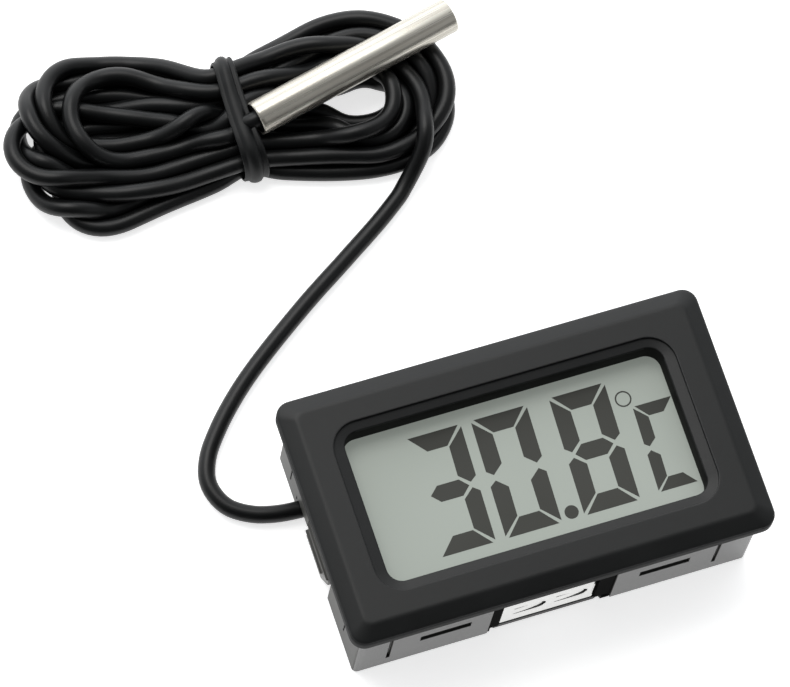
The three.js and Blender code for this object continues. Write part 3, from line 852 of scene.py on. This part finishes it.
def make_bezel():
    """The flange, its soft slope, the flat face, the shallow recess and the window's deep wall."""
    def outer(inset, z):
        return rounded_ring(
            BEZEL_HALF[0] - inset,
            BEZEL_HALF[1] - inset,
            max(BEZEL_CORNER - 0.4 * inset, 0.5),
            z,
            per_corner=10,
        )

    def around(half, radius, z):
        return rounded_ring(*half, radius, z, per_corner=10)

    def grown(half, by):
        return (half[0] + by, half[1] + by)

    rings = [
        outer(1.3, FLANGE_UNDERSIDE),
        outer(0.05, FLANGE_UNDERSIDE),
        outer(0.0, FLANGE_UNDERSIDE + 0.06),
        outer(0.0, 14.16),
        outer(0.03, 14.3),
        outer(0.12, 14.42),
        outer(0.27, 14.5),
        outer(0.4, 14.56),
        outer(1.6, 15.1),
        outer(1.75, 15.155),
        outer(1.9, 15.185),
        outer(2.05, FACE_HEIGHT),
        outer(2.2, FACE_HEIGHT),
        around(grown(RECESS_HALF, 0.2), 3.3, FACE_HEIGHT),
        around(grown(RECESS_HALF, 0.09), 3.2, FACE_HEIGHT),
        around(grown(RECESS_HALF, 0.03), 3.15, FACE_HEIGHT - 0.02),
        around(RECESS_HALF, 3.1, FACE_HEIGHT - 0.07),
        around(RECESS_HALF, 3.1, FACE_HEIGHT - 0.30),
        around(grown(RECESS_HALF, -0.12), 3.0, FACE_HEIGHT - RECESS_DEPTH),
        around(grown(WINDOW_HALF, 0.16), 1.86, FACE_HEIGHT - 0.36),
        around(grown(WINDOW_HALF, 0.05), 1.75, FACE_HEIGHT - 0.40),
        around(WINDOW_HALF, WINDOW_CORNER, FACE_HEIGHT - 0.50),
        around(WINDOW_HALF, WINDOW_CORNER, DISPLAY_HEIGHT + 0.02),
        around(grown(WINDOW_HALF, 1.5), WINDOW_CORNER, DISPLAY_HEIGHT + 0.02),
    ]
    vertices, faces = loft(rings)
    bezel = mesh_object("bezel_moulding", vertices, faces, CASE_BLACK, 50)
    wear_only(bezel, CASE_BLACK, WINDOW_PAINTED_SHADE, EDGE_BLACK)
    for face in bezel.data.polygons:
        x, y, z = face.center / MM
        inside = abs(x) < WINDOW_HALF[0] + 0.02 and abs(y) < WINDOW_HALF[1] + 0.02
        # Faces of the window's deep wall take the darker copy: painted shade.
        if inside and FLANGE_UNDERSIDE - 1 < z < FACE_HEIGHT - 0.42:
            face.material_index = 1
        elif not inside and z < FLANGE_SIDE_TOP:
            face.material_index = 2
    return finish_piece(bezel, "case", "case_plastic", "case_shell")


def through(face, deep):
    """Both ends of a cut from the given depth behind a wall's outer face to well outside it."""
    return sorted((face - math.copysign(deep, face), face + math.copysign(CLEAR, face)))


def wall_cuts():
    whole = WALL + CLEAR
    front, left = -BODY_HALF[1], -BODY_HALF[0]
    mouth = box_outline(FRONT_MOUTH["left"], FRONT_MOUTH["right"], -CLEAR, FRONT_MOUTH["top"])
    shapes = [prism(mouth, "y", *through(front, whole))]
    for x in LATCH_WINDOW["xs"]:
        half = LATCH_WINDOW["half"]
        window = box_outline(x - half, x + half, LATCH_WINDOW["low"], LATCH_WINDOW["high"])
        for face in (front, -front):
            shapes.append(prism(window, "y", *through(face, whole)))
    for x in GROOVE["xs"]:
        groove = box_outline(x, x + GROOVE["wide"], GROOVE["low"], GROOVE["high"])
        for face in (front, -front):
            shapes.append(prism(groove, "y", *through(face, GROOVE["deep"])))
    for face in (left, -left):
        near, far = CLIP_MOUTH["near"], CLIP_MOUTH["far"]
        if face > 0:
            near, far = -far, -near
        opening = box_outline(near, far, -CLEAR, CLIP_MOUTH["top"])
        shapes.append(prism(opening, "x", *through(face, whole)))
        for y, foot in SLIT_PLACES:
            slit = [
                (y, SLIT["high"]),
                (y + SLIT["taper"], foot),
                (y + SLIT["taper"] + SLIT["foot_wide"], foot),
                (y + SLIT["wide"], SLIT["high"]),
            ]
            shapes.append(prism(slit, "x", *through(face, SLIT["deep"])))
    cord_hole = box_outline(CORD_MOUTH["low"], CORD_MOUTH["high"], -CLEAR, CORD_MOUTH["top"])
    shapes.append(prism(cord_hole, "x", *through(left, whole)))
    return shapes


def make_walls():
    """The four walls behind the flange, with their windows, grooves and mouths."""
    inner = (BODY_HALF[0] - WALL, BODY_HALF[1] - WALL)
    rings = [
        rounded_ring(*BODY_HALF, BODY_CORNER, 0.0),
        rounded_ring(*BODY_HALF, BODY_CORNER, BODY_TOP),
        rounded_ring(*inner, 0.5, BODY_TOP),
        rounded_ring(*inner, 0.5, 0.0),
    ]
    vertices, faces = loft(rings, closed=True)
    walls = mesh_object("case_walls", vertices, faces, WALL_PAINTED_LIGHT)
    cut_and_round(walls, wall_cuts(), 0.11)
    # Faces turned to the ends take the lighter copy: painted light on the end walls.
    wear_only(walls, WALL_PAINTED_LIGHT, SIDE_WALL_PAINTED_LIGHT)
    for face in walls.data.polygons:
        face.material_index = 1 if abs(face.normal.x) > 0.8 else 0
    return finish_piece(walls, "case", "case_plastic")


def softened(node, name, body, slot_name, material, width, segments=2):
    """The node's own shape with its sharp edges rounded over."""
    piece = bpy.data.objects.new(name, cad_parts[node].data.copy())
    bpy.context.collection.objects.link(piece)
    work = bmesh.new()
    work.from_mesh(piece.data)
    bmesh.ops.remove_doubles(work, verts=work.verts, dist=2e-6)
    bmesh.ops.dissolve_limit(work, angle_limit=math.radians(2), verts=work.verts, edges=work.edges)
    bmesh.ops.recalc_face_normals(work, faces=work.faces)
    work.to_mesh(piece.data)
    work.free()
    wear_only(piece, material)
    round_edges(piece, width, segments, angle=35)
    return finish_piece(piece, body, slot_name, node)


make_bezel()
make_walls()
softened("rear_cover", "rear_cover_moulding", "case", "case_plastic", COVER_BLACK, 0.1)
softened("battery_door", "sliding_door", "door", "case_plastic", COVER_BLACK, 0.12)
softened("snap_clip_left", "sprung_clip_left", "clip_left", "clip_plastic", CLIP_GREY, 0.12, 3)
softened("snap_clip_right", "sprung_clip_right", "clip_right", "clip_plastic", CLIP_GREY, 0.12, 3)
softened("cell_link_strip", "door_contact_strip", "door", "contact_nickel", NICKEL, 0.04)
softened("cell_spring", "board_leaf_spring", "case", "contact_nickel", NICKEL, 0.03)


# ------------------------------------------------------------------ contact plate

def tongue_outline(left, right, low, high, steps=12):
    """A straight-sided tongue in (x, z) with a round free end on the right."""
    radius = (high - low) / 2
    middle = (high + low) / 2
    points = [(left, high), (left, low)]
    for step in range(steps + 1):
        angle = math.radians(-90 + 180 * step / steps)
        x = right - radius + radius * math.cos(angle)
        points.append((x, middle + radius * math.sin(angle)))
    return points


def make_plate():
    """Plated sheet across the mouth of the bay, pierced round its two tongues."""
    outline = box_outline(PLATE["left"], PLATE["right"], PLATE["low"], PLATE["high"])
    sheet = prism(outline, "y", PLATE_FRONT, PLATE_BACK)
    plate = mesh_object("contact_plate_sheet", *sheet, NICKEL)
    holes = []
    for root in TONGUE_ROOTS:
        hole = tongue_outline(
            root, root + TONGUE_REACH + 0.35, TONGUE_LOW - TONGUE_SLOT, TONGUE_HIGH + TONGUE_SLOT
        )
        holes.append(prism(hole, "y", PLATE_FRONT - CLEAR, PLATE_BACK + CLEAR))
    cut_and_round(plate, holes, 0.05)
    wear_only(plate, NICKEL)
    return finish_piece(plate, "case", "contact_nickel", "contact_plate")


def bent_tongue(root):
    """One lanced tongue: it leaves the sheet at its root and bends in towards the cell."""
    columns = 14
    before_root = 0.12
    half = (TONGUE_HIGH - TONGUE_LOW) / 2
    middle = (TONGUE_HIGH + TONGUE_LOW) / 2
    rings = []
    for step in range(columns + 1):
        along = -before_root + (TONGUE_REACH + before_root) * step / columns
        to_end = TONGUE_REACH - along
        width = half
        if to_end < half:
            width = math.sqrt(max(half * half - (half - to_end) ** 2, 0.0016))
        x = root + along
        front = PLATE_FRONT + 0.01 + TONGUE_BOW * max(0.0, along / TONGUE_REACH) ** 1.4
        back = front + 0.26
        rings.append([
            (x, front, middle - width),
            (x, front, middle + width),
            (x, back, middle + width),
            (x, back, middle - width),
        ])
    return loft(rings, cap_start=True, cap_end=True)


def make_plate_details():
    """The tongues, the plate's folded right-hand rim, and its shelf and lead to the board."""
    rim_outline = [
        (4.35, PLATE_FRONT + 0.02),
        (4.62, PLATE_FRONT),
        (4.9, PLATE_FRONT + 0.12),
        (4.9, -11.95),
        (4.66, -11.95),
        (4.6, PLATE_BACK),
        (4.35, PLATE_BACK),
    ]
    rim = prism(rim_outline, "z", PLATE["low"], 6.0)
    shelf = prism(box_outline(PLATE_FRONT + 0.02, -9.6, 7.68, 7.93), "x", -3.4, 1.6)
    lead = prism(box_outline(-1.6, -0.2, -10.8, -9.6), "z", 7.9, 8.2)
    shapes = [bent_tongue(root) for root in TONGUE_ROOTS] + [rim, shelf, lead]
    details = join_meshes("contact_plate_tongues", shapes, NICKEL)
    return finish_piece(details, "case", "contact_nickel")


def make_mouth_sides():
    """The moulding seen on both sides of the plate, with a foot beside the door's edge, painted
    near black as shade.
    """
    front = -12.95
    shapes = []
    for cheek, foot in (((-7.35, -6.15), (-7.35, -7.1)), ((4.95, 6.85), (5.8, 6.85))):
        shapes.append(prism(box_outline(*cheek, front, -12.35), "z", 1.25, 9.0))
        shapes.append(prism(box_outline(*foot, front, -12.6), "z", 0.05, 1.24))
    sides = join_meshes("mouth_sides", shapes, RECESS_PAINTED_SHADE)
    return finish_piece(sides, "case", "case_plastic")


make_plate()
make_plate_details()
make_mouth_sides()


# ------------------------------------------------------------------ display

# Painted light: the display face glows a little, though it is no lamp.
DISPLAY_PAINTED_GLOW = 0.62


def display_film():
    """The grey-green face; a slight painted glow stands in for the light its reflector sends back
    and keeps the shade under the window's wall faint.
    """
    material, tree, shader = new_material("display_face")
    wide = noise(tree, 28.0, 2.0)
    tint = ramp(tree, wide, [(0.3, (0.245, 0.270, 0.242)), (0.7, (0.275, 0.298, 0.272))])
    tree.links.new(tint, shader.inputs["Base Color"])
    link_roughness(tree, shader, wide, 0.38, 0.5)
    shader.inputs["Specular IOR Level"].default_value = 0.3
    tree.links.new(tint, shader.inputs["Emission Color"])
    shader.inputs["Emission Strength"].default_value = DISPLAY_PAINTED_GLOW
    bump(tree, shader, noise(tree, 4000.0), 0.04, SCRATCH_DEPTH)
    return material


def display_ink():
    """The dark grey of a segment that is switched on."""
    material, tree, shader = new_material("display_ink")
    wide = noise(tree, 90.0, 2.0)
    tint = ramp(tree, wide, [(0.3, (0.050, 0.051, 0.044)), (0.7, (0.060, 0.061, 0.054))])
    tree.links.new(tint, shader.inputs["Base Color"])
    link_roughness(tree, shader, wide, 0.5, 0.6)
    shader.inputs["Specular IOR Level"].default_value = 0.25
    return material


# The outlines of three segments, about the figure's middle; the rest are these flipped over.
SEGMENT_TOP = [(-2.9, 6.92), (2.9, 6.92), (1.15, 4.95), (-1.15, 4.95)]
SEGMENT_SIDE = [(-3.22, 6.67), (-1.3, 4.79), (-1.27, 1.37), (-2.47, 0.32), (-3.22, 0.89)]
SEGMENT_MIDDLE = [(-2.2, 0), (-1.25, 0.95), (1.25, 0.95), (2.2, 0), (1.25, -0.95), (-1.25, -0.95)]
SEGMENTS = {
    "a": (SEGMENT_TOP, 1, 1),
    "b": (SEGMENT_SIDE, -1, 1),
    "c": (SEGMENT_SIDE, -1, -1),
    "d": (SEGMENT_TOP, 1, -1),
    "e": (SEGMENT_SIDE, 1, -1),
    "f": (SEGMENT_SIDE, 1, 1),
    "g": (SEGMENT_MIDDLE, 1, 1),
}
# Which segments are dark, where the middle of the figure is, and its size.
FIGURES = [
    ("abgcd", -8.4, 0.2, 1.0),
    ("abcdef", -0.8, 0.2, 1.0),
    ("abcdefg", 8.22, 0.2, 1.0),
    ("adef", 16.0, -1.5, 0.73),
]
FIGURE_SLANT = 0.0415
INK_LOW, INK_HIGH = DISPLAY_HEIGHT + 0.004, DISPLAY_HEIGHT + 0.012
DECIMAL_POINT = (3.49, -5.91, 0.78)
DEGREE_SIGN = {"x": 13.12, "y": 4.72, "outer": 0.93, "inner": 0.76}


def dot(x, y, radius, steps=24):
    turns = [2 * math.pi * step / steps for step in range(steps)]
    return [(x + radius * math.cos(a), y + radius * math.sin(a)) for a in turns]


def thin_ring(x, y, outer, inner):
    rings = []
    for radius, level in ((outer, INK_LOW), (outer, INK_HIGH), (inner, INK_HIGH), (inner, INK_LOW)):
        rings.append([(a, b, level) for a, b in dot(x, y, radius)])
    return loft(rings, closed=True)


def make_figures():
    shapes = []
    for lit, x, y, size in FIGURES:
        for letter in lit:
            outline, flip_x, flip_y = SEGMENTS[letter]
            points = []
            for a, b in outline:
                up = y + b * flip_y * size
                points.append((x + a * flip_x * size + FIGURE_SLANT * up, up))
            shapes.append(prism(points, "z", INK_LOW, INK_HIGH))
    shapes.append(prism(dot(*DECIMAL_POINT), "z", INK_LOW, INK_HIGH))
    shapes.append(thin_ring(**DEGREE_SIGN))
    figures = join_meshes("display_figures", shapes, display_ink())
    return finish_piece(figures, "case", "display_film")


make_figures()


# ------------------------------------------------------------------ CAD parts kept as they are

def paint(material, *nodes):
    for name in nodes:
        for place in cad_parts[name].material_slots:
            place.material = material


def circuit_board_green():
    """Solder mask with the faint relief of copper tracks under it."""
    material, tree, shader = new_material("circuit_board_green")
    place = add_node(tree, "ShaderNodeTexCoord")
    tracks = add_node(tree, "ShaderNodeTexBrick")
    tracks.inputs["Scale"].default_value = 260.0
    tracks.inputs["Mortar Size"].default_value = 0.03
    tracks.inputs["Color1"].default_value = (0.012, 0.105, 0.040, 1)
    tracks.inputs["Color2"].default_value = (0.014, 0.125, 0.048, 1)
    tracks.inputs["Mortar"].default_value = (0.030, 0.200, 0.080, 1)
    tree.links.new(place.outputs["Object"], tracks.inputs["Vector"])
    tree.links.new(tracks.outputs["Color"], shader.inputs["Base Color"])
    link_roughness(tree, shader, noise(tree, 300.0), 0.28, 0.42)
    bump(tree, shader, tracks.outputs["Fac"], 0.3, 0.00003)
    return material


def striped_rubber():
    """Contact rubber: fine dark conducting stripes across a grey strip."""
    material, tree, shader = new_material("striped_rubber")
    place = add_node(tree, "ShaderNodeTexCoord")
    stripes = add_node(tree, "ShaderNodeTexWave")
    stripes.inputs["Scale"].default_value = 900.0
    stripes.inputs["Distortion"].default_value = 0.2
    tree.links.new(place.outputs["Object"], stripes.inputs["Vector"])
    stops = [(0.4, (0.02, 0.02, 0.022)), (0.6, (0.16, 0.16, 0.17))]
    tint = ramp(tree, stripes.outputs["Fac"], stops)
    tree.links.new(tint, shader.inputs["Base Color"])
    link_roughness(tree, shader, noise(tree, 500.0), 0.65, 0.8)
    return material


def coated(name, colour, roughness, coat=0.0):
    """Glue, potting, ceramic, glass paste and wire covers."""
    material, tree, shader = new_material(name)
    cloud = noise(tree, 700.0, 4.0)
    tint = ramp(tree, cloud, [(0.3, shade(colour, 0.85)), (0.7, shade(colour, 1.1))])
    tree.links.new(tint, shader.inputs["Base Color"])
    link_roughness(tree, shader, cloud, roughness * 0.8, roughness * 1.2)
    shader.inputs["Coat Weight"].default_value = coat
    bump(tree, shader, cloud, 0.1, 0.00003)
    return material


paint(display_film(), "lcd_front_film")
paint(coated("display_glass", (0.36, 0.42, 0.38), 0.12, 0.5), "lcd_front_glass", "lcd_rear_glass")
paint(metal("reflector_foil", (0.62, 0.64, 0.60), 0.35), "lcd_reflector")
paint(circuit_board_green(), "circuit_board")
paint(striped_rubber(), "contact_rubber_top", "contact_rubber_bottom")
paint(coated("potting_black", (0.012, 0.012, 0.013), 0.25, 0.4), "chip_blob")
paint(coated("chip_black", (0.02, 0.02, 0.021), 0.5), "chip_resistor_1", "chip_resistor_2")
paint(coated("chip_tan", (0.34, 0.24, 0.13), 0.45), "chip_capacitor_1", "chip_capacitor_2")
paint(metal("cell_steel", (0.80, 0.80, 0.79), 0.24), "front_cell_can", "rear_cell_can")
paint(metal("cell_cap_steel", (0.84, 0.84, 0.83), 0.2), "front_cell_cap", "rear_cell_cap")
paint(rubber("cell_gasket", (0.03, 0.03, 0.032), 0.5), "front_cell_seal", "rear_cell_seal")
paint(coated("melted_glue", (0.62, 0.58, 0.44), 0.35, 0.2), "cord_anchor")
paint(coated("wire_red", (0.30, 0.012, 0.010), 0.4), "lead_wire_red")
paint(coated("wire_black", (0.010, 0.010, 0.010), 0.4), "lead_wire_black")
paint(coated("resin_black", (0.012, 0.012, 0.012), 0.3, 0.3), "probe_seal")
paint(coated("bead_resin", (0.03, 0.025, 0.02), 0.35, 0.3), "thermistor_bead")
paint(metal("tinned_wire", (0.75, 0.75, 0.74), 0.3), "thermistor_lead_1", "thermistor_lead_2")
